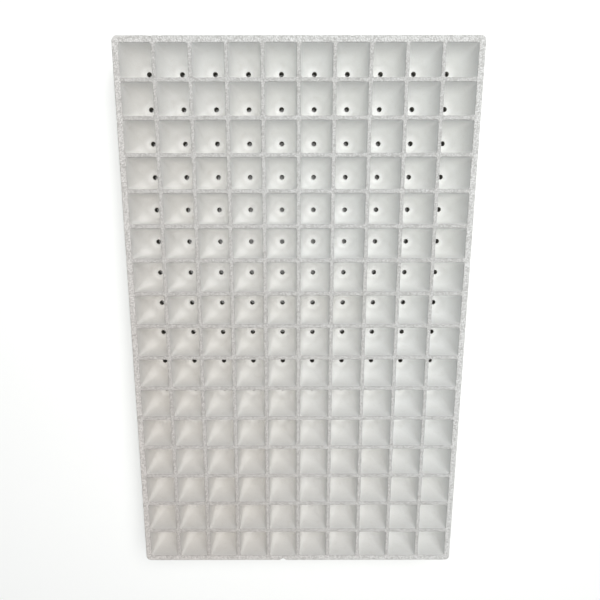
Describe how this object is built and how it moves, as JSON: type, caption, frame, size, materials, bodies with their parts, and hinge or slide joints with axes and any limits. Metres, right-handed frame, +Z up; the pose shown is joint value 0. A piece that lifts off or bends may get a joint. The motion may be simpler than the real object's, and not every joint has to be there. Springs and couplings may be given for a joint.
{
  "type": "plug tray",
  "caption": "Rectangular foam plug tray: a grid of square steep-walled cells, each closing in to a round drain hole through a flat underside.",
  "frame": {"origin": "middle of the flat underside, on the surface that the tray stands on", "axes": "+Z up, out of the cells' mouths; +Y along the tray's long side; +X along its short side, to the right when the tray is seen from above with +Y away"},
  "size_m": [0.325, 0.515, 0.055],
  "materials": {
    "foam": "white expanded polystyrene, matt, with the pattern of its moulded beads"
  },
  "bodies": {
    "root": {"long_web_01": "foam", "long_web_02": "foam", "long_web_03": "foam", "long_web_04": "foam", "long_web_05": "foam", "long_web_06": "foam", "long_web_07": "foam", "long_web_08": "foam", "long_web_09": "foam", "cross_web_01": "foam", "cross_web_02": "foam", "cross_web_03": "foam", "cross_web_04": "foam", "cross_web_05": "foam", "cross_web_06": "foam", "cross_web_07": "foam", "cross_web_08": "foam", "cross_web_09": "foam", "cross_web_10": "foam", "cross_web_11": "foam", "cross_web_12": "foam", "cross_web_13": "foam", "cross_web_14": "foam", "cross_web_15": "foam", "side_wall_left": "foam", "side_wall_right": "foam", "end_wall_front": "foam", "end_wall_back": "foam"}
  },
  "joints": []
}
